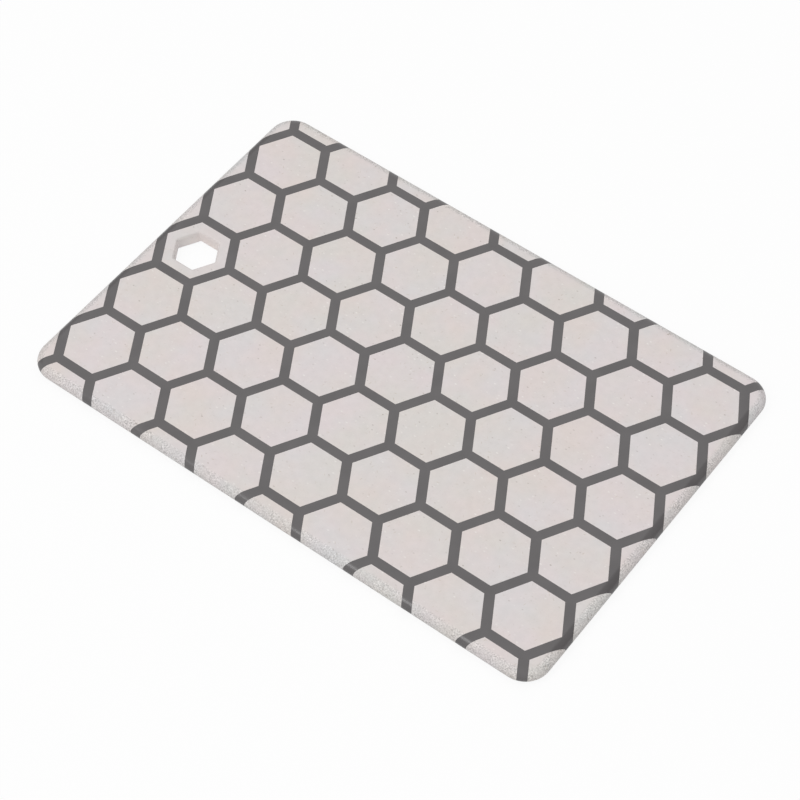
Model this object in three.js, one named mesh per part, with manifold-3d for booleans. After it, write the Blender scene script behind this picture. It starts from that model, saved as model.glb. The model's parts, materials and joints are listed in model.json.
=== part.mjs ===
// Plastic cutting board: a moulded slab with a round rim and a hexagonal hanging hole, and a grey
// honeycomb net that seats flush in channels of its top face and runs on down over the rim.
// Millimetres. +X along the board, away from the hanging hole, +Z up, origin under the board's centre.
import * as THREE from "three";
import { mergeGeometries, mergeVertices } from "three/addons/utils/BufferGeometryUtils.js";
import Module from "manifold-3d";

// Slab
const BOARD_LENGTH = 300;
const BOARD_WIDTH = 205;
const BOARD_THICKNESS = 8;
const CORNER_RADIUS = 13.5; // seen from above
const RIM_REACH = 5; // how far the round rim reaches in from the outline

// Honeycomb net
const CELL_ACROSS_FLATS = 31.8; // one bare cell between its lines
const LINE_WIDTH = 5;
const NET_DEPTH = 0.8;
const NET_HEM = 1; // height of the net's lower edge over the underside
const SEAT_CLEARANCE = 0.2; // between the net and its channels, on every side
const LEAST_LAND = 1; // narrowest strip of bare slab that the net leaves open at the rim

// Hanging hole, in the middle of a honeycomb cell
const HOLE_ACROSS_FLATS = 21;
const HOLE_INSET = 22.5; // from the short side to the hole's centre
const HOLE_CORNER_RADIUS = 1; // seen from above
const HOLE_LIP = 1.2; // radius of the edge between the hole's wall and a face

// Facets of the round stretches
const CORNER_FACETS = 10;
const RIM_FACETS = 10;
const HOLE_CORNER_FACETS = 4;
const LIP_FACETS = 4;

const LEAST_RADIUS = 0.5; // sharpest corner that the rim may leave on the flat faces
const OVERSHOOT = 2; // how far a cutter reaches past what it cuts

const HEXAGON_SIDES = 6;
const HALF_SIDE_ANGLE = Math.PI / HEXAGON_SIDES; // from a hexagon's flat to its corner, about its centre
const CELL_PITCH = CELL_ACROSS_FLATS + LINE_WIDTH;
const LAND_ACROSS_FLATS = CELL_ACROSS_FLATS - 2 * SEAT_CLEARANCE; // the slab's land inside a cell
const COLUMN_PITCH = CELL_PITCH * Math.cos(HALF_SIDE_ANGLE);
const HOLE_X = HOLE_INSET - BOARD_LENGTH / 2;

const wasm = await Module();
wasm.setup();

/** A closed geometry as a solid that can be joined and cut. */
function solidOf(geometry) {
  geometry.deleteAttribute("normal");
  geometry.deleteAttribute("uv");
  const welded = mergeVertices(geometry);
  const mesh = new wasm.Mesh({
    numProp: 3,
    vertProperties: welded.attributes.position.array,
    triVerts: new Uint32Array(welded.index.array),
  });
  return new wasm.Manifold(mesh);
}

/** A cut solid as a geometry. */
function geometryOf(solid) {
  const mesh = solid.getMesh();
  const geometry = new THREE.BufferGeometry();
  geometry.setAttribute("position", new THREE.BufferAttribute(mesh.vertProperties, 3));
  geometry.setIndex(new THREE.BufferAttribute(mesh.triVerts, 1));
  geometry.computeVertexNormals();
  return geometry;
}

/** The solid inside a stack of convex rings with equal point counts, capped flat at both ends. */
function loft(rings) {
  const count = rings[0].length;
  const indices = [];
  for (let level = 0; level + 1 < rings.length; level++) {
    for (let i = 0; i < count; i++) {
      const here = level * count + i;
      const next = level * count + ((i + 1) % count);
      indices.push(here, next, next + count);
      indices.push(here, next + count, here + count);
    }
  }
  const top = (rings.length - 1) * count;
  for (let i = 1; i + 1 < count; i++) {
    indices.push(0, i + 1, i);
    indices.push(top, top + i, top + i + 1);
  }
  const geometry = new THREE.BufferGeometry().setFromPoints(rings.flat());
  geometry.setIndex(indices);
  return solidOf(geometry);
}

/** A ring at height z: equal arcs about the centres in turn, with straight runs between them. */
function arcRing(centres, radius, startAngle, facets, z) {
  const turn = (2 * Math.PI) / centres.length;
  const path = new THREE.Path();
  centres.forEach((centre, index) => {
    const from = startAngle + index * turn;
    path.absarc(centre.x, centre.y, radius, from, from + turn);
  });
  return path.getPoints(facets / 2).map((point) => new THREE.Vector3(point.x, point.y, z));
}

/** The board's outline at height z, drawn in by an inset. */
function boardRing(inset, z) {
  const radius = Math.max(CORNER_RADIUS - inset, LEAST_RADIUS);
  const x = BOARD_LENGTH / 2 - inset - radius;
  const y = BOARD_WIDTH / 2 - inset - radius;
  const centres = [
    new THREE.Vector2(x, y),
    new THREE.Vector2(-x, y),
    new THREE.Vector2(-x, -y),
    new THREE.Vector2(x, -y),
  ];
  return arcRing(centres, radius, 0, CORNER_FACETS, z);
}

/** The whole board without channels or hole: half an ellipse round its outline, shrunk on every side. */
function boardBlank(shrink) {
  const middle = BOARD_THICKNESS / 2;
  const rings = [];
  for (let step = 0; step <= RIM_FACETS; step++) {
    const angle = Math.PI * (step / RIM_FACETS - 0.5);
    const inset = shrink + (RIM_REACH - shrink) * (1 - Math.cos(angle));
    rings.push(boardRing(inset, middle + (middle - shrink) * Math.sin(angle)));
  }
  return loft(rings);
}

/** The hanging hole's outline at height z: a hexagon with corners along X, grown on every side. */
function holeRing(growth, z) {
  const reach = (HOLE_ACROSS_FLATS / 2 - HOLE_CORNER_RADIUS) / Math.cos(HALF_SIDE_ANGLE);
  const centres = [];
  for (let corner = 0; corner < HEXAGON_SIDES; corner++) {
    const angle = 2 * HALF_SIDE_ANGLE * corner;
    centres.push(new THREE.Vector2(HOLE_X + reach * Math.cos(angle), reach * Math.sin(angle)));
  }
  return arcRing(centres, HOLE_CORNER_RADIUS + growth, -HALF_SIDE_ANGLE, HOLE_CORNER_FACETS, z);
}

/** What the hanging hole takes out of the slab: a straight wall with a rounded lip at each face. */
function holeCutter() {
  const lowerHalf = [{ growth: HOLE_LIP, z: -OVERSHOOT }];
  for (let step = 0; step <= LIP_FACETS; step++) {
    const angle = (Math.PI / 2) * (step / LIP_FACETS);
    lowerHalf.push({
      growth: HOLE_LIP * (1 - Math.sin(angle)),
      z: HOLE_LIP * (1 - Math.cos(angle)),
    });
  }
  const upperHalf = lowerHalf.toReversed().map(({ growth, z }) => ({ growth, z: BOARD_THICKNESS - z }));
  return loft([...lowerHalf, ...upperHalf].map(({ growth, z }) => holeRing(growth, z)));
}

/** A hexagonal prism right through the board on a honeycomb cell, with corners along X. */
function cellPrism(centre, acrossFlats) {
  const radius = acrossFlats / 2 / Math.cos(HALF_SIDE_ANGLE);
  const height = BOARD_THICKNESS + 4 * OVERSHOOT;
  const prism = new THREE.CylinderGeometry(
    radius, radius, height, HEXAGON_SIDES, 1, false, Math.PI / 2);
  prism.rotateX(Math.PI / 2);
  prism.translate(centre.x, centre.y, BOARD_THICKNESS / 2);
  return prism;
}

/** Centres of the cells that bare the slab: where the rim leaves a cell only a sliver, it stays shut. */
function openCells() {
  const backing = boardBlank(NET_DEPTH + SEAT_CLEARANCE + LEAST_LAND);
  const columnsBefore = Math.ceil(HOLE_INSET / COLUMN_PITCH);
  const columnsAfter = Math.ceil((BOARD_LENGTH - HOLE_INSET) / COLUMN_PITCH);
  const rowsAside = Math.ceil(BOARD_WIDTH / 2 / CELL_PITCH) + 1;
  const centres = [];
  for (let column = -columnsBefore; column <= columnsAfter; column++) {
    const stagger = column % 2 === 0 ? 0 : CELL_PITCH / 2;
    for (let row = -rowsAside; row <= rowsAside; row++) {
      const centre = new THREE.Vector2(HOLE_X + column * COLUMN_PITCH, row * CELL_PITCH + stagger);
      const backed = solidOf(cellPrism(centre, LAND_ACROSS_FLATS)).intersect(backing);
      if (!backed.isEmpty()) {
        centres.push(centre);
      }
    }
  }
  return centres;
}

/** Prisms of one size on all the given cells. */
function cellPrisms(centres, acrossFlats) {
  return solidOf(mergeGeometries(centres.map((centre) => cellPrism(centre, acrossFlats))));
}

/** Everything at the board that lies under a height. */
function spaceUnder(height) {
  const depth = height + 2 * OVERSHOOT;
  const box = new THREE.BoxGeometry(
    BOARD_LENGTH + 4 * OVERSHOOT, BOARD_WIDTH + 4 * OVERSHOOT, depth);
  box.translate(0, 0, height - depth / 2);
  return solidOf(box);
}

/** The grey net: a skin of the board, open at every cell and cut off straight at its hem. */
function honeycombNet(cells) {
  return boardBlank(0)
    .subtract(boardBlank(NET_DEPTH))
    .subtract(cellPrisms(cells, CELL_ACROSS_FLATS))
    .subtract(spaceUnder(NET_HEM));
}

/** The cream slab: the board less its hanging hole and the channels that the net seats in. */
function boardSlab(cells) {
  const channels = boardBlank(-OVERSHOOT)
    .subtract(boardBlank(NET_DEPTH + SEAT_CLEARANCE))
    .subtract(cellPrisms(cells, LAND_ACROSS_FLATS))
    .subtract(spaceUnder(NET_HEM - SEAT_CLEARANCE));
  return boardBlank(0).subtract(channels).subtract(holeCutter());
}

/** A named sub-part. */
function piece(name, solid, material) {
  const mesh = new THREE.Mesh(geometryOf(solid), material);
  mesh.name = name;
  return mesh;
}

const creamPlastic = new THREE.MeshStandardMaterial({ color: 0xd7d1ce, roughness: 0.55, metalness: 0 });
const greyPlastic = new THREE.MeshStandardMaterial({ color: 0x6a6868, roughness: 0.42, metalness: 0 });

const cells = openCells();
const cuttingBoard = new THREE.Group();
cuttingBoard.add(piece("board_slab", boardSlab(cells), creamPlastic));
cuttingBoard.add(piece("honeycomb_net", honeycombNet(cells), greyPlastic));

export default cuttingBoard;
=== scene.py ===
"""Plastic cutting board: a cream slab with a round rim and a hexagonal hanging hole, and a grey honeycomb
net set flush into its top. Metres, +X along the board away from the hole, +Z up, underside on the floor."""
import json
import math

import bpy
import numpy as np
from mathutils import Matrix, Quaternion, Vector


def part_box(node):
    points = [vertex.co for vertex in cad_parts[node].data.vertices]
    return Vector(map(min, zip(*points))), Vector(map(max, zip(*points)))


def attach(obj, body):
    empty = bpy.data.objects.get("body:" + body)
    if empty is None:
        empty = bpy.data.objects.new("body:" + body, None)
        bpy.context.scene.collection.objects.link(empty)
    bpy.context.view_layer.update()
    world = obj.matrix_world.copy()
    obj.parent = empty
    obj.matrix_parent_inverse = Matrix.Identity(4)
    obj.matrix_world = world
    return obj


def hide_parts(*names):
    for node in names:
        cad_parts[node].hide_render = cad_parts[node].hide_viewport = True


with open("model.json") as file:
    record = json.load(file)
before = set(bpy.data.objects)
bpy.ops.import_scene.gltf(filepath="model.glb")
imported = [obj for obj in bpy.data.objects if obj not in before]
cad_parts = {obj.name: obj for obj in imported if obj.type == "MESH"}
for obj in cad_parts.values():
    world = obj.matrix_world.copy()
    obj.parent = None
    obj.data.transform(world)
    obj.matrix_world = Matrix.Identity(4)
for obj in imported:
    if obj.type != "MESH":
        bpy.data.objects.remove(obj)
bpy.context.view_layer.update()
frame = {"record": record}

MM = 0.001

# Sizes and places that the frame gives
slab_low, slab_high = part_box("board_slab")
hole_low, hole_high = np.array(frame["record"]["physics"]["openings"][0]["box_m"])
HALF_LENGTH, HALF_WIDTH, HALF_THICKNESS = (slab_high - slab_low) / 2
HOLE_CENTRE = ((hole_low + hole_high) / 2)[:2]
NET_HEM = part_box("honeycomb_net")[0].z  # height of the net's lower edge over the underside

# Slab
CORNER_RADIUS = 13.5 * MM  # seen from above
RIM_REACH = 5 * MM  # how far the round rim reaches in from the outline
HOLE_ACROSS_FLATS = 21 * MM
HOLE_CORNER_RADIUS = 1 * MM
HOLE_LIP = 1.2 * MM  # radius of the edge between the hole's wall and a face

# Honeycomb net
CELL_ACROSS_FLATS = 31.8 * MM
LINE_WIDTH = 5 * MM
NET_DEPTH = 0.8 * MM
SEAM = 0.01 * MM  # gap between the net and the slab
LEAST_CELL_REACH = 2 * MM  # a cell that reaches less far in from the outline stays shut

# What follows from the sizes
HEXAGON_SIDES = 6
HALF_SIDE_ANGLE = math.pi / HEXAGON_SIDES  # from a hexagon's flat to its corner, about its centre
CELL_PITCH = CELL_ACROSS_FLATS + LINE_WIDTH
CORNER_SIGNS = np.array([[1, 1], [-1, 1], [-1, -1], [1, -1]])
CORE = np.array([HALF_LENGTH, HALF_WIDTH]) - CORNER_RADIUS  # half sizes between the corner arcs' centres

# Steps of the round stretches, and cutting
RIM_STEPS = 40
CORNER_STEPS = 24
HOLE_CORNER_STEPS = 8
LIP_STEPS = 10
CELL_SIDE_STEPS = 40
OVERSHOOT = 2 * MM  # how far a cutter reaches past what it cuts
CLEAR_OF_BOARD = 3 * OVERSHOOT  # how far a prism or box reaches past the whole board
SHARP_EDGE = math.radians(30)
SKIN_LEVEL = 0.99  # least out squared + up squared at the corners of a face on the rim's skin
FLAT_LEVEL = 1 - 1e-6  # least upright part of a flat face's normal
LEAST_LENGTH = 1e-9  # anything shorter counts as nothing

# Marks that the slab's points carry for its finish and its painted light and shade, each a share from 0 to 1
RIM_SHARE = "rim_share"  # of the way out over the rim
WALL_PAINTED_LIGHT_SHARE = "wall_painted_light_share"  # of the way over the hanging hole's lip to its wall, where painted light lightens it

# Cream plastic: its colours, and the sizes of its clouds and grain
CREAM_PINK = (0.697, 0.631, 0.633, 1)
CREAM_GREY = (0.669, 0.639, 0.641, 1)
STRAW_TINT = (1, 0.992, 0.945, 1)  # multiplies the cream where more straw shows through
PITH = (0.83, 0.80, 0.77, 1)
FIBRE = (0.50, 0.43, 0.35, 1)
HUSK = (0.30, 0.26, 0.22, 1)
PINK_CLOUD = 19 * MM
STRAW_CLOUD = 27 * MM
TONE_CLOUD = 4 * MM
TONE_RANGE = (0.982, 1.018)  # multiplies the cream
CREAM_GRAIN = 0.7 * MM
CREAM_GRAIN_DEPTH = 0.05 * MM
GRAIN_PATCH = 6 * MM
PATCH_RANGE = (0.5, 1.5)  # multiplies the grain
FLAT_GRAIN_SHOW = 0.006  # how far the grain lightens and darkens
# on the rim, partly the grain and partly painted light and shade of its fine relief
RIM_GRAIN_AND_SHADING_SHOW = 0.21
CREAM_GLOSS_CLOUD = 3 * MM
CREAM_ROUGHNESS = (0.475, 0.565)
CREAM_SHINE = 0.35

# Where painted relief shading strengthens the rim's grain, painted shade darkens the rim,
# and painted light brightens the hanging hole's wall, by their marks
RIM_GRAIN_AND_SHADING_BETWEEN = (0.08, 0.3)
RIM_PAINTED_SHADE_BETWEEN = (0.05, 0.45)
RIM_PAINTED_SHADE = (0.892, 0.920, 0.921, 1)  # painted shade: multiplies the cream, making the rim darker and greyer
WALL_PAINTED_LIGHT_BETWEEN = (0.7, 1.0)
WALL_PAINTED_LIGHT = 1.20  # painted light: multiplies the cream too, lighter on the hanging hole's wall

# Flecks of straw in the cream plastic, and how strongly each kind shows
PITHS = dict(spacing=1.9 * MM, width=1.0 * MM, share=0.3, length=1.6)
FIBRES = dict(spacing=2.2 * MM, width=0.6 * MM, share=0.7, length=4.0)
FIBRE_TURNS = (17, 74, 131)  # degrees about +Z
FIBRE_TILT = 9  # degrees out of the faces
SMALL_HUSKS = dict(spacing=1.5 * MM, width=0.9 * MM, share=0.3)
LONG_HUSKS = dict(spacing=2.3 * MM, width=1.2 * MM, share=0.3, length=1.5)
STRAY_HUSKS = dict(spacing=2.4 * MM, width=0.85 * MM, share=0.5, length=1.6)
STRAW_PATCH = 9 * MM  # size of the patches in which fibres and stray husks gather
PITH_SHOW = 0.7
FIBRE_SHOW = (0.15, 0.7)  # out of the patches, and in them
STRAY_HUSK_SHOW = (0.1, 0.74)
FLAT_HUSK_SHOW = 0.09
# on the rim, partly husks and partly painted shade of its fine relief
RIM_HUSKS_AND_SHADING_SHOW = 0.55
FLECK_CORE = 0.4  # share of a fleck's width that is full, before it fades
FAINTEST_FLECK = 0.25

# Grey plastic
GREY = (0.1165, 0.1095, 0.1108, 1)
GREY_CLOUD = 12 * MM
GREY_RANGE = (0.95, 1.05)  # multiplies the grey
GREY_GRAIN = 0.6 * MM
GREY_GRAIN_DEPTH = 0.006 * MM
GREY_GLOSS_CLOUD = 5 * MM
GREY_ROUGHNESS = (0.195, 0.235)
GREY_SHINE = 0.5

# Both plastics
PLASTIC_IOR = 1.46
NOISE_DETAIL = 2
NOISE_BETWEEN = (0.35, 0.65)  # the range that most of a noise's values lie in
SHARE_BETWEEN = (0.0, 1.0)  # the range that a share lies in

# Studio: soft light from above and in front, a lamp, and cards that only gloss shows
WHITE = (1, 1, 1, 1)
HORIZON_LIGHT = 0.05
ZENITH_LIGHT = 1.43
FRONT_LIGHT = 0.30
LIGHT_CURVE = 1.5  # the power by which the light grows towards the zenith
LAMP_FROM = Vector((-0.25, -0.57, 0.78))  # the way from the board to the lamp
LAMP_DISTANCE = 2.4
LAMP_WIDTH = 0.45
LAMP_HEIGHT = 1.5
LAMP_POWER = 8.3  # watts
BLACK_CARD_AT = Vector((0.744, 0.576, 0.744))
BLACK_CARD_SIZE = 1.4
BLACK_CARD_GLOW = 0.0
GREY_CARD_AT = Vector((-1.05, 0.25, 0.10))
GREY_CARD_SIZE = 1.3
GREY_CARD_GLOW = 0.3
FLOOR_COLOUR = (0.85, 0.85, 0.85, 1)
FLOOR_SIZE = 8.0
FLOOR_GAP = 0.05 * MM  # between the floor and the board's underside
FLOOR_GLOW = 0.90  # how far the floor is plain white to the camera
FLOOR_GLOW_IN_GLOSS = 0.1  # and to rays off gloss

# Camera
CAMERA_LENS = 110.451  # millimetres, on the usual sensor 36 wide
CAMERA_AIM = Vector((9.429, -12.560, 8.0)) * MM
CAMERA_DISTANCE = 1174.612 * MM
CAMERA_AZIMUTH = math.radians(36.435)
CAMERA_ELEVATION = math.radians(54.036)
CAMERA_ROLL = math.radians(0.527)


def arc_path(centres, first_angle, steps):
    """A closed path of equal arcs about the centres in turn. Gives each point's arc centre and outward
    direction, so that the path drawn at a radius is centre + radius * direction."""
    turn = 2 * math.pi / len(centres)
    share = np.linspace(0, 1, steps + 1)
    angle = first_angle + turn * (np.arange(len(centres))[:, None] + share)
    outward = np.stack([np.cos(angle), np.sin(angle)], axis=-1)
    return np.repeat(centres, steps + 1, axis=0), outward.reshape(-1, 2)


def carried_round(path, radius, height):
    """A profile carried round a path of arcs, as one stack of rings: point (i, j) is centre j + radius i *
    direction j, at height i."""
    centre, outward = path
    level = centre + radius[:, None, None] * outward
    rise = np.broadcast_to(height[:, None, None], level[..., :1].shape)
    return np.concatenate([level, rise], axis=-1)[None]


def upright(rings, low, high):
    """Rings of points in the plane, each set up as a stack of two equal rings at a low and a high level."""
    level = np.repeat(rings[:, None], 2, axis=1)
    rise = np.broadcast_to(np.array([low, high])[:, None, None], level[..., :1].shape)
    return np.concatenate([level, rise], axis=-1)


def new_object(name, points, faces):
    """An object in the scene, with a mesh of points and faces."""
    mesh = bpy.data.meshes.new(name)
    mesh.from_pydata(points.tolist(), [], faces)
    made = bpy.data.objects.new(name, mesh)
    bpy.context.scene.collection.objects.link(made)
    return made


def closed_form(name, stacks):
    """An object closed round stacks of rings: point (i, j) of a stack joins its neighbours along its ring and
    up the stack, and each stack's lowest and highest ring are filled."""
    number = np.arange(stacks[..., 0].size).reshape(stacks.shape[:-1])
    ahead = np.roll(number, -1, axis=2)
    walls = np.stack([number[:, :-1], ahead[:, :-1], ahead[:, 1:], number[:, 1:]], axis=-1)
    floors = number[:, 0, ::-1]
    roofs = number[:, -1]
    faces = walls.reshape(-1, 4).tolist() + floors.tolist() + roofs.tolist()
    return new_object(name, stacks.reshape(-1, 3), faces)


def whole_board(shrink):
    """The board without channels or hole, shrunk on every side: half an ellipse carried round a rounded
    rectangle. At profile angle a its inset is shrink + (reach - shrink)(1 - cos a), and its height over the
    middle is (half thickness - shrink) sin a."""
    angle = math.pi * np.linspace(-0.5, 0.5, RIM_STEPS + 1)
    inset = shrink + (RIM_REACH - shrink) * (1 - np.cos(angle))
    height = HALF_THICKNESS + (HALF_THICKNESS - shrink) * np.sin(angle)
    path = arc_path(CORNER_SIGNS * CORE, 0, CORNER_STEPS)
    return closed_form("whole_board", carried_round(path, CORNER_RADIUS - inset, height))


def hexagon_directions(first_angle):
    """Six directions a sixth of a turn apart, the first at an angle from +X."""
    angle = first_angle + 2 * HALF_SIDE_ANGLE * np.arange(HEXAGON_SIDES)
    return np.stack([np.cos(angle), np.sin(angle)], axis=-1)


def hexagon_corners(across_flats):
    """The corners of a hexagon about its centre, the first on +X, at half the width across flats over cos 30
    degrees."""
    return across_flats / 2 / math.cos(HALF_SIDE_ANGLE) * hexagon_directions(0)


def hanging_hole():
    """What the hanging hole takes out: a lip of a quarter circle at each face and a straight wall between
    them, carried round a hexagon with round corners. At lip angle a the growth is lip (1 - sin a), and the
    height over the face is lip (1 - cos a)."""
    angle = math.pi / 2 * np.linspace(0, 1, LIP_STEPS + 1)
    growth = np.append(HOLE_LIP, HOLE_LIP * (1 - np.sin(angle)))
    height = np.append(-OVERSHOOT, HOLE_LIP * (1 - np.cos(angle)))
    growth = np.append(growth, growth[::-1])
    height = np.append(height, 2 * HALF_THICKNESS - height[::-1])
    centres = HOLE_CENTRE + hexagon_corners(HOLE_ACROSS_FLATS - 2 * HOLE_CORNER_RADIUS)
    path = arc_path(centres, -HALF_SIDE_ANGLE, HOLE_CORNER_STEPS)
    return closed_form("hanging_hole", carried_round(path, HOLE_CORNER_RADIUS + growth, height))


def inset_from_outline(places):
    """How far places lie inside the board's outline: the corner radius less the distance to the rectangle
    between the corner arcs' centres."""
    return CORNER_RADIUS - np.linalg.norm(np.maximum(np.abs(places) - CORE, 0), axis=-1)


def open_cells():
    """Centres of the cells that bare the slab, in columns a pitch times cos 30 degrees apart, every other
    one half a pitch up, counted from the hanging hole. A cell is open if a point of its sides, which run
    straight from corner to corner, lies far enough in."""
    column_pitch = CELL_PITCH * math.cos(HALF_SIDE_ANGLE)
    count = math.ceil(2 * HALF_LENGTH / column_pitch)
    column, row = np.meshgrid(np.arange(-count, count + 1), np.arange(-count, count + 1))
    places = np.stack([column * column_pitch, (row + column % 2 / 2) * CELL_PITCH], axis=-1)
    centres = HOLE_CENTRE + places.reshape(-1, 2)
    corners = hexagon_corners(CELL_ACROSS_FLATS)
    share = np.linspace(0, 1, CELL_SIDE_STEPS)[:, None, None]
    sides = (corners + share * (np.roll(corners, -1, axis=0) - corners)).reshape(-1, 2)
    reach = inset_from_outline(centres[:, None] + sides).max(axis=1)
    return centres[reach > LEAST_CELL_REACH]


def cell_prisms(centres, across_flats):
    """Hexagonal prisms right through the board on the cells, with corners along X: each ring is a cell's
    centre plus the hexagon's corners."""
    rings = centres[:, None] + hexagon_corners(across_flats)
    top = 2 * HALF_THICKNESS + CLEAR_OF_BOARD
    return closed_form("cell_prisms", upright(rings, -CLEAR_OF_BOARD, top))


def space_under(top):
    """A box wider than the board, from below it up to a height."""
    ring = CORNER_SIGNS * (CORE + CORNER_RADIUS + CLEAR_OF_BOARD)
    return closed_form("space_under", upright(ring[None], -CLEAR_OF_BOARD, top))


def cut(form, *cutters):
    """Takes the cutters out of a form, and uses them up."""
    for cutter in cutters:
        taken = form.modifiers.new(cutter.name, "BOOLEAN")
        taken.operation = "DIFFERENCE"
        taken.solver = "MANIFOLD"
        taken.object = cutter
    finished = form.evaluated_get(bpy.context.evaluated_depsgraph_get())
    mesh = bpy.data.meshes.new_from_object(finished)
    mesh.materials.clear()
    form.modifiers.clear()
    form.data = mesh
    for cutter in cutters:
        bpy.data.objects.remove(cutter)
    return form


def cream_slab(cells):
    """The board less the channels that the net seats in and the hanging hole."""
    backing = whole_board(NET_DEPTH + SEAM)
    lands = cell_prisms(cells, CELL_ACROSS_FLATS - 2 * SEAM)
    channels = cut(whole_board(-OVERSHOOT), backing, lands, space_under(NET_HEM - SEAM))
    return cut(whole_board(0), channels, hanging_hole())


def grey_net(cells):
    """A skin of the board, open at every cell and cut off straight at its hem."""
    openings = cell_prisms(cells, CELL_ACROSS_FLATS)
    return cut(whole_board(0), whole_board(NET_DEPTH), openings, space_under(NET_HEM))


def numbers(items, name, width, kind=np.float32):
    """One value of every item, as an array of rows."""
    found = np.empty(len(items) * width, dtype=kind)
    items.foreach_get(name, found)
    return found.reshape(-1, width)


def true_skin_normals(piece):
    """Shades a cut piece: corners of faces on the round rim take the normal of the rim's ellipse, which is
    the slope of out squared + up squared, where out is the share of the rim's reach from its inner edge and
    up the share of the half thickness from the middle. Flat faces keep their own normal, and the rest is
    smoothed up to its sharp edges."""
    mesh = piece.data
    mesh.shade_smooth()
    mesh.set_sharp_from_angle(angle=SHARP_EDGE)
    places = numbers(mesh.vertices, "co", 3)[numbers(mesh.loops, "vertex_index", 1, np.int32)[:, 0]]
    normals = numbers(mesh.corner_normals, "vector", 3)
    starts = numbers(mesh.polygons, "loop_start", 1, np.int32)[:, 0]
    sizes = numbers(mesh.polygons, "loop_total", 1, np.int32)[:, 0]
    face_normals = np.repeat(numbers(mesh.polygons, "normal", 3), sizes, axis=0)

    outward = np.sign(places[:, :2]) * np.maximum(np.abs(places[:, :2]) - CORE, 0)
    outward /= np.maximum(np.linalg.norm(outward, axis=1, keepdims=True), LEAST_LENGTH)
    out = np.maximum(1 - inset_from_outline(places[:, :2]) / RIM_REACH, 0)
    up = places[:, 2] / HALF_THICKNESS - 1
    slope = np.column_stack([outward * out[:, None] / RIM_REACH, up / HALF_THICKNESS])
    slope /= np.linalg.norm(slope, axis=1, keepdims=True)
    on_rim = np.maximum.reduceat(out, starts) > LEAST_LENGTH
    on_skin = np.minimum.reduceat(out**2 + up**2, starts) > SKIN_LEVEL
    round_corner = np.repeat(on_rim & on_skin, sizes)
    flat_corner = np.abs(face_normals[:, 2]) > FLAT_LEVEL
    normals = np.where(round_corner[:, None], slope, normals)
    normals = np.where(flat_corner[:, None], face_normals, normals)
    mesh.normals_split_custom_set(normals.tolist())


def mark_finish(slab):
    """Marks every point with its share of the way out over the rim, 0 on the flat faces and 1 at the outline,
    and of the way over the hanging hole's lip, 0 at its edge and 1 on the wall. A point's distance from the
    hole's middle is the greatest of its distances along the six directions to the flats."""
    places = numbers(slab.data.vertices, "co", 3)[:, :2]
    from_middle = np.max((places - HOLE_CENTRE) @ hexagon_directions(HALF_SIDE_ANGLE).T, axis=1)
    marks = {
        RIM_SHARE: 1 - inset_from_outline(places) / RIM_REACH,
        WALL_PAINTED_LIGHT_SHARE: 1 - (from_middle - HOLE_ACROSS_FLATS / 2) / HOLE_LIP,
    }
    for name, share in marks.items():
        made = slab.data.attributes.new(name, "FLOAT", "POINT")
        made.data.foreach_set("value", np.clip(share, 0, 1).astype(np.float32))


class Nodes:
    """Builds a node tree. An input given as a socket is linked, and any other value is set on it."""

    def __init__(self, tree):
        self.tree = tree

    def node(self, kind, inputs=None, **settings):
        """A new node with its settings and inputs."""
        made = self.tree.nodes.new(kind)
        for name, value in settings.items():
            setattr(made, name, value)
        self.fill(made, inputs or {})
        return made

    def fill(self, node, inputs):
        """Links or sets a node's inputs, by name or number."""
        for name, value in inputs.items():
            if isinstance(value, bpy.types.NodeSocket):
                self.tree.links.new(value, node.inputs[name])
            else:
                node.inputs[name].default_value = value

    def maths(self, operation, *values):
        """One operation that takes in the values in turn, such as the product of them all."""
        result = values[0]
        for value in values[1:]:
            result = self.node("ShaderNodeMath", {0: result, 1: value}, operation=operation).outputs[0]
        return result

    def seen_directly(self, by_camera, in_gloss):
        """How far rays show a thing itself: the camera's rays by one share, and rays off gloss or through
        glass by another."""
        ray = self.node("ShaderNodeLightPath").outputs
        reflected = self.maths("MAXIMUM", ray["Is Glossy Ray"], ray["Is Transmission Ray"])
        seen = self.maths("MULTIPLY", ray["Is Camera Ray"], by_camera)
        return self.maths("MAXIMUM", seen, self.maths("MULTIPLY", reflected, in_gloss))

    def mixed(self, share, under, over):
        """One shader laid over another by a share."""
        return self.node("ShaderNodeMixShader", {0: share, 1: under.outputs[0], 2: over.outputs[0]})


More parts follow.
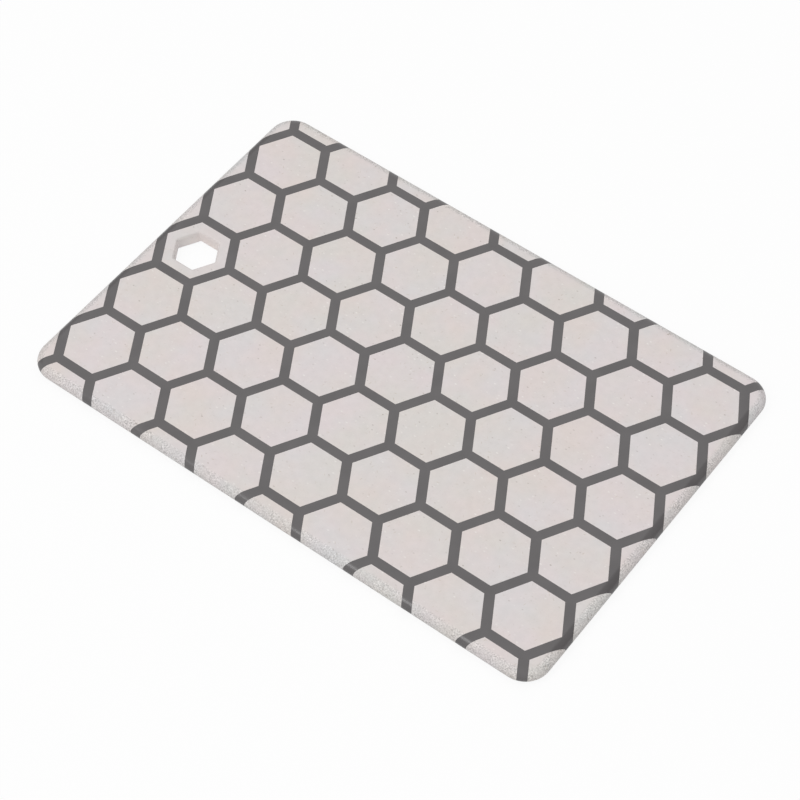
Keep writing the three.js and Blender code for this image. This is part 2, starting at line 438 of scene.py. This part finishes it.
class Finish(Nodes):
    """A plastic, made node by node on the piece's own coordinates."""

    def __init__(self, name):
        self.material = bpy.data.materials.new(name)
        self.material.use_nodes = True
        super().__init__(self.material.node_tree)
        self.place = self.node("ShaderNodeTexCoord").outputs["Object"]

    def mark(self, name):
        """A share that the piece's points carry."""
        return self.node("ShaderNodeAttribute", attribute_name=name).outputs["Fac"]

    def spread(self, value, between, low=0.0, high=1.0):
        """A value between two limits carried over to the range from low to high, and held at its ends."""
        limits = {"From Min": between[0], "From Max": between[1], "To Min": low, "To Max": high}
        return self.node("ShaderNodeMapRange", {"Value": value, **limits}).outputs[0]

    def noise(self, size):
        """Cloudy values about a half, with clouds of a size."""
        inputs = {"Vector": self.place, "Scale": 1 / size, "Detail": NOISE_DETAIL}
        return self.node("ShaderNodeTexNoise", inputs).outputs[0]

    def clouds(self, size, low=0.0, high=1.0):
        """Cloudy values from low to high, with clouds of a size."""
        return self.spread(self.noise(size), NOISE_BETWEEN, low, high)

    def laid_over(self, amount, under, over, blend="MIX"):
        """One colour laid over another by an amount. A mix node has its colours on inputs 6 and 7 and on
        output 2."""
        inputs = {0: amount, 6: under, 7: over}
        return self.node("ShaderNodeMix", inputs, data_type="RGBA", blend_type=blend).outputs[2]

    def flecks(self, spacing, width, share, length=1.0, turn=(0.0, 0.0, 0.0)):
        """A mask of flecks in the plastic: cells a spacing apart, of which a share holds one. A fleck fades
        out at half its width, and is drawn out to a length in widths along the turned X axis."""
        inputs = {"Vector": self.place, "Rotation": turn, "Scale": (length, 1.0, 1.0)}
        place = self.node("ShaderNodeMapping", inputs, vector_type="TEXTURE").outputs[0]
        cell = self.node("ShaderNodeTexVoronoi", {"Vector": place, "Scale": 1 / spacing}).outputs
        chance = self.node("ShaderNodeSeparateColor", {0: cell["Color"]}).outputs
        edge = width / 2 / spacing
        fleck = self.spread(cell["Distance"], (edge * FLECK_CORE, edge), 1.0, 0.0)
        held = self.maths("LESS_THAN", chance[0], share)
        strength = self.spread(chance[1], SHARE_BETWEEN, FAINTEST_FLECK, 1.0)
        return self.maths("MULTIPLY", fleck, held, strength)

    def plastic(self, colour, roughness, shine, grain, grain_depth):
        """The material, with its colour, gloss and grain on its shader."""
        bump = self.node("ShaderNodeBump", {"Height": grain, "Strength": 1.0, "Distance": grain_depth})
        self.fill(self.tree.nodes["Principled BSDF"], {
            "Base Color": colour,
            "Roughness": roughness,
            "IOR": PLASTIC_IOR,
            "Specular IOR Level": shine,
            "Normal": bump.outputs[0],
        })
        return self.material


def cream_straw_plastic():
    """Cream plastic filled with straw: pinkish and greyish clouds, tinted where more straw shows through, a
    fine grain, and flecks of pith, fibre and husk, with fibres and stray husks in patches. On the rim the
    grain and husks show more, partly as painted light and shade of its fine relief, and painted shade makes
    the rim darker and greyer. Painted light makes the hanging hole's wall lighter."""
    finish = Finish("cream_straw_plastic")
    rim = finish.mark(RIM_SHARE)
    wall = finish.mark(WALL_PAINTED_LIGHT_SHARE)
    # grain and husks show more on the rim, partly as painted light and shade of its relief
    rim_grain_and_shading = finish.spread(rim, RIM_GRAIN_AND_SHADING_BETWEEN)
    grain = finish.noise(CREAM_GRAIN)
    shade = finish.maths(
        "MULTIPLY",
        finish.spread(grain, NOISE_BETWEEN, -1.0, 1.0),
        finish.spread(rim_grain_and_shading, SHARE_BETWEEN, FLAT_GRAIN_SHOW, RIM_GRAIN_AND_SHADING_SHOW),
        finish.clouds(GRAIN_PATCH, *PATCH_RANGE),
    )
    tone = finish.maths(
        "MULTIPLY",
        finish.clouds(TONE_CLOUD, *TONE_RANGE),
        # painted light: the hanging hole's wall lighter
        finish.spread(wall, WALL_PAINTED_LIGHT_BETWEEN, 1.0, WALL_PAINTED_LIGHT),
        finish.maths("ADD", shade, 1.0),
    )
    colour = finish.laid_over(finish.clouds(PINK_CLOUD), CREAM_PINK, CREAM_GREY)
    colour = finish.laid_over(finish.clouds(STRAW_CLOUD), colour, STRAW_TINT, "MULTIPLY")
    # painted shade: the rim darker and greyer
    colour = finish.laid_over(finish.spread(rim, RIM_PAINTED_SHADE_BETWEEN), colour, RIM_PAINTED_SHADE, "MULTIPLY")
    colour = finish.laid_over(1.0, colour, tone, "MULTIPLY")

    piths = finish.maths("MULTIPLY", finish.flecks(**PITHS), PITH_SHOW)
    turns = [(0.0, math.radians(FIBRE_TILT), math.radians(turn)) for turn in FIBRE_TURNS]
    fibres = finish.maths("MAXIMUM", *[finish.flecks(turn=turn, **FIBRES) for turn in turns])
    fibres = finish.maths("MULTIPLY", fibres, finish.clouds(STRAW_PATCH, *FIBRE_SHOW))
    husks = finish.maths("MAXIMUM", finish.flecks(**SMALL_HUSKS), finish.flecks(**LONG_HUSKS))
    husks_show = finish.spread(rim_grain_and_shading, SHARE_BETWEEN, FLAT_HUSK_SHOW, RIM_HUSKS_AND_SHADING_SHOW)
    husks = finish.maths("MULTIPLY", husks, husks_show)
    strays_show = finish.clouds(STRAW_PATCH, *STRAY_HUSK_SHOW)
    stray_husks = finish.maths("MULTIPLY", finish.flecks(**STRAY_HUSKS), strays_show)
    colour = finish.laid_over(piths, colour, PITH)
    colour = finish.laid_over(fibres, colour, FIBRE)
    colour = finish.laid_over(finish.maths("MAXIMUM", husks, stray_husks), colour, HUSK)

    roughness = finish.clouds(CREAM_GLOSS_CLOUD, *CREAM_ROUGHNESS)
    return finish.plastic(colour, roughness, CREAM_SHINE, grain, CREAM_GRAIN_DEPTH)


def grey_plastic():
    """Satin grey plastic, faintly clouded, with a very fine grain."""
    finish = Finish("grey_plastic")
    colour = finish.laid_over(1.0, GREY, finish.clouds(GREY_CLOUD, *GREY_RANGE), "MULTIPLY")
    roughness = finish.clouds(GREY_GLOSS_CLOUD, *GREY_ROUGHNESS)
    return finish.plastic(colour, roughness, GREY_SHINE, finish.noise(GREY_GRAIN), GREY_GRAIN_DEPTH)


def set_in_frame(piece, node, finish):
    """Finishes a piece and puts it in the place of the frame's plain one."""
    piece.name = "fine_" + node
    piece.data.materials.append(finish)
    true_skin_normals(piece)
    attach(piece, "root")
    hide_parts(node)


def studio_world():
    """White all round for rays that show it, and for the rest a soft light that grows towards the zenith and
    a little towards the front: horizon + (zenith - horizon) * up ** curve + front * forward."""
    world = bpy.data.worlds.new("studio")
    world.use_nodes = True
    nodes = Nodes(world.node_tree)
    way = nodes.node("ShaderNodeTexCoord").outputs["Generated"]
    part = nodes.node("ShaderNodeSeparateXYZ", {0: way}).outputs
    up = nodes.maths("POWER", nodes.maths("MAXIMUM", part["Z"], 0.0), LIGHT_CURVE)
    forward = nodes.maths("MAXIMUM", nodes.maths("MULTIPLY", part["Y"], -1.0), 0.0)
    from_above = nodes.maths("MULTIPLY", up, ZENITH_LIGHT - HORIZON_LIGHT)
    from_front = nodes.maths("MULTIPLY", forward, FRONT_LIGHT)
    light = nodes.tree.nodes["Background"]
    nodes.fill(light, {"Color": WHITE, "Strength": nodes.maths("ADD", from_above, from_front, HORIZON_LIGHT)})
    white = nodes.node("ShaderNodeBackground", {"Color": WHITE})
    shown = nodes.mixed(nodes.seen_directly(1.0, 1.0), light, white)
    nodes.fill(nodes.tree.nodes["World Output"], {"Surface": shown.outputs[0]})
    bpy.context.scene.world = world


def stage_square(name, size, height=0.0):
    """A level square of the stage about the origin, at a height, and the nodes of its bare material."""
    points = np.column_stack([CORNER_SIGNS * size / 2, np.full(len(CORNER_SIGNS), height)])
    square = new_object(name, points, [[0, 1, 2, 3]])
    material = bpy.data.materials.new(name)
    material.use_nodes = True
    material.node_tree.nodes.remove(material.node_tree.nodes["Principled BSDF"])
    square.data.materials.append(material)
    return square, Nodes(material.node_tree)


def pale_floor():
    """A pale floor that keeps the board's shadow, and is nearly white where it is seen."""
    _, nodes = stage_square("floor", FLOOR_SIZE, -FLOOR_GAP)
    pale = nodes.node("ShaderNodeBsdfDiffuse", {"Color": FLOOR_COLOUR})
    white = nodes.node("ShaderNodeEmission", {"Color": WHITE})
    shown = nodes.mixed(nodes.seen_directly(FLOOR_GLOW, FLOOR_GLOW_IN_GLOSS), pale, white)
    nodes.fill(nodes.tree.nodes["Material Output"], {"Surface": shown.outputs[0]})


def gloss_card(name, at, size, glow):
    """A square card turned to the board that only gloss shows, with an even glow."""
    card, nodes = stage_square(name, size)
    light = nodes.node("ShaderNodeEmission", {"Color": WHITE, "Strength": glow})
    nodes.fill(nodes.tree.nodes["Material Output"], {"Surface": light.outputs[0]})
    card.location = at
    card.rotation_mode = "QUATERNION"
    card.rotation_quaternion = (-at).to_track_quat("Z", "Y")
    card.visible_camera = False
    card.visible_diffuse = False
    card.visible_shadow = False


def soft_lamp():
    """A tall oval lamp above the board's front, towards the hanging hole's end, turned to the board."""
    data = bpy.data.lights.new("soft_lamp", "AREA")
    data.shape = "ELLIPSE"
    data.size = LAMP_WIDTH
    data.size_y = LAMP_HEIGHT
    data.energy = LAMP_POWER
    lamp = bpy.data.objects.new("soft_lamp", data)
    bpy.context.scene.collection.objects.link(lamp)
    lamp.location = LAMP_FROM.normalized() * LAMP_DISTANCE
    lamp.rotation_mode = "QUATERNION"
    lamp.rotation_quaternion = (-LAMP_FROM).to_track_quat("-Z", "Y")


def view_camera():
    """The camera, back from the point it aims at along its azimuth and elevation, and rolled a little."""
    camera = bpy.data.objects.new("camera", bpy.data.cameras.new("camera"))
    bpy.context.scene.collection.objects.link(camera)
    camera.data.lens = CAMERA_LENS
    back = Vector((
        math.sin(CAMERA_AZIMUTH) * math.cos(CAMERA_ELEVATION),
        -math.cos(CAMERA_AZIMUTH) * math.cos(CAMERA_ELEVATION),
        math.sin(CAMERA_ELEVATION),
    ))
    camera.location = CAMERA_AIM + CAMERA_DISTANCE * back
    camera.rotation_mode = "QUATERNION"
    camera.rotation_quaternion = (-back).to_track_quat("-Z", "Y") @ Quaternion((0, 0, 1), CAMERA_ROLL)
    bpy.context.scene.camera = camera


# Pieces
cells = open_cells()
slab = cream_slab(cells)
mark_finish(slab)
set_in_frame(slab, "board_slab", cream_straw_plastic())
set_in_frame(grey_net(cells), "honeycomb_net", grey_plastic())

# Studio and camera
studio_world()
pale_floor()
soft_lamp()
gloss_card("black_card", BLACK_CARD_AT, BLACK_CARD_SIZE, BLACK_CARD_GLOW)
gloss_card("grey_card", GREY_CARD_AT, GREY_CARD_SIZE, GREY_CARD_GLOW)
view_camera()
bpy.context.scene.view_settings.view_transform = "Standard"
